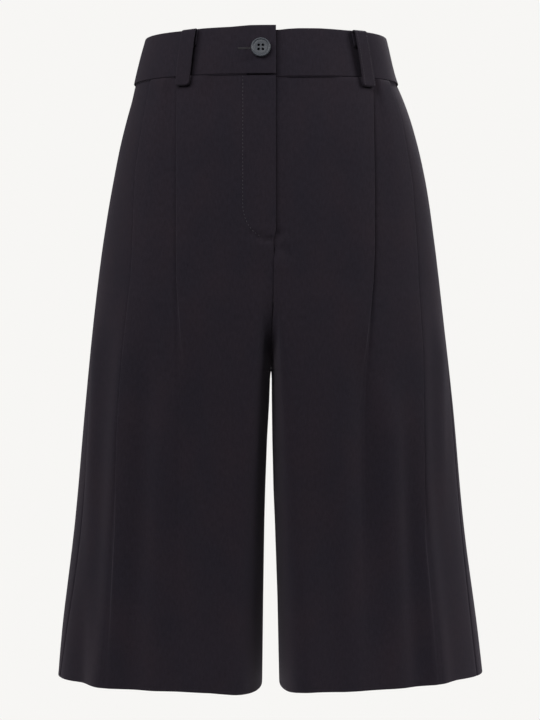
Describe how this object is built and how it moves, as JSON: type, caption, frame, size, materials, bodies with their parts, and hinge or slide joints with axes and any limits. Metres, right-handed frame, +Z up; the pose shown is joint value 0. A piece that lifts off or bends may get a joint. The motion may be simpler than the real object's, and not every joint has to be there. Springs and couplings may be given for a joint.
{
  "type": "bermuda shorts",
  "caption": "Knee-length pleated bermuda shorts in dark suiting, filled out and hollow, with a buttoned waistband, belt loops and a fly.",
  "frame": {"origin": "centre of the waist ring at mid-height of the waistband, where the wearer holds the shorts up", "axes": "+Z up, -Y to the front, +X to the wearer's left; the legs hang down along -Z"},
  "size_m": [0.4116, 0.2284, 0.6168],
  "materials": {
    "suiting": "near-black aubergine suiting, fine matte twill",
    "button_plastic": "dark blue-grey polyester, satin, raised rim",
    "zip_tape": "black woven tape with nylon coil",
    "zip_metal": "dark nickel"
  },
  "bodies": {
    "root": {"front_right": "suiting", "front_left": "suiting", "back_right": "suiting", "back_left": "suiting", "waistband_right": "suiting", "waistband_left": "suiting", "belt_loop_front_right": "suiting", "belt_loop_front_left": "suiting", "belt_loop_back_right": "suiting", "belt_loop_back_left": "suiting", "belt_loop_centre_back": "suiting", "button": "button_plastic", "zip_tape": "zip_tape", "zip_coil": "zip_tape", "zip_slider": "zip_metal"}
  },
  "joints": []
}
